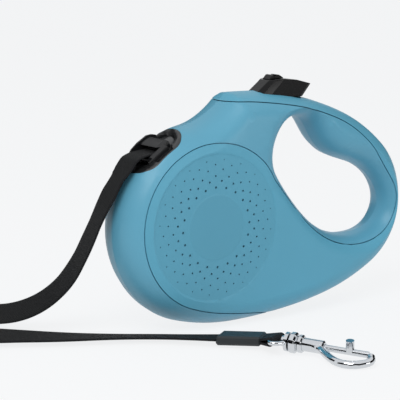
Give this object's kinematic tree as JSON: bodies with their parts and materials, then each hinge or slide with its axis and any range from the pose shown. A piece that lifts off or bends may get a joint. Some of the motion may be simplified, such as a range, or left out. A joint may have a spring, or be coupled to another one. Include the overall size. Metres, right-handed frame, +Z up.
{
  "type": "retractable dog leash",
  "caption": "Retractable dog leash: blue moulded housing with a hand opening, brake button on top, spring reel inside, and a flat webbing tape that ends in a chrome swivel hook.",
  "frame": {"origin": "middle of the housing's footprint, on the surface it stands on", "axes": "+X from the tape's mouth towards the grip, +Z up, the reel's axle along Y; the side with the hook is -Y"},
  "size_m": [0.2687, 0.1838, 0.1242],
  "materials": {
    "housing_plastic": "smooth satin, light blue",
    "cover_plastic": "satin light blue with rings of fine dimples",
    "black_plastic": "fine matt grain",
    "button_plastic": "semi-gloss",
    "reel_plastic": "as moulded",
    "bearing_plastic": "smooth",
    "webbing": "woven nylon, fine ribs",
    "steel": "turned or stamped",
    "screw_steel": "zinc plated",
    "spring_steel": "oiled",
    "chrome_plate": "polished plate"
  },
  "bodies": {
    "housing": {"left_shell": "housing_plastic", "right_shell": "housing_plastic", "left_cover": "cover_plastic", "right_cover": "cover_plastic", "nozzle": "black_plastic", "tape_guide": "black_plastic", "guide_pin": "steel", "axle": "steel", "shell_screws": "screw_steel", "button_spring": "spring_steel", "inner_tape": "webbing", "tape": "webbing", "tape_sleeve": "black_plastic", "tape_loop": "webbing", "swivel_eye": "chrome_plate"},
    "reel_body": {"reel": "reel_plastic", "ratchet_flange": "reel_plastic", "spring_lid": "reel_plastic", "power_spring": "spring_steel", "left_bushing": "bearing_plastic", "right_bushing": "bearing_plastic", "wound_tape": "webbing"},
    "button_body": {"brake_button": "button_plastic", "brake_pawl": "steel"},
    "slider_body": {"lock_slider": "black_plastic"},
    "hook": {"hook_body": "chrome_plate"},
    "bolt": {"hook_bolt": "chrome_plate"}
  },
  "joints": [
    {"name": "reel_spin", "type": "hinge", "parent": "housing", "child": "reel_body", "pos_m": [-0.03962, 0, 0.05257], "axis": [0, 1, 0], "continuous": true},
    {"name": "brake_press", "type": "slide", "parent": "housing", "child": "button_body", "axis": [-0.6428, 0, -0.766], "range_m": [0, 0.003], "stiffness_N_per_m": 400, "springref_m": -0.002, "deforming": ["button_spring"]},
    {"name": "lock_slide", "type": "slide", "parent": "button_body", "child": "slider_body", "axis": [1, 0, 0], "range_m": [0, 0.0022]},
    {"name": "hook_swivel", "type": "hinge", "parent": "housing", "child": "hook", "pos_m": [-0.0333, -0.0723, 0.0055], "axis": [0.4995, -0.8652, -0.0436], "continuous": true},
    {"name": "bolt_slide", "type": "slide", "parent": "hook", "child": "bolt", "axis": [-0.4995, 0.8652, 0.0436], "range_m": [0, 0.006], "stiffness_N_per_m": 200, "springref_m": -0.003}
  ]
}
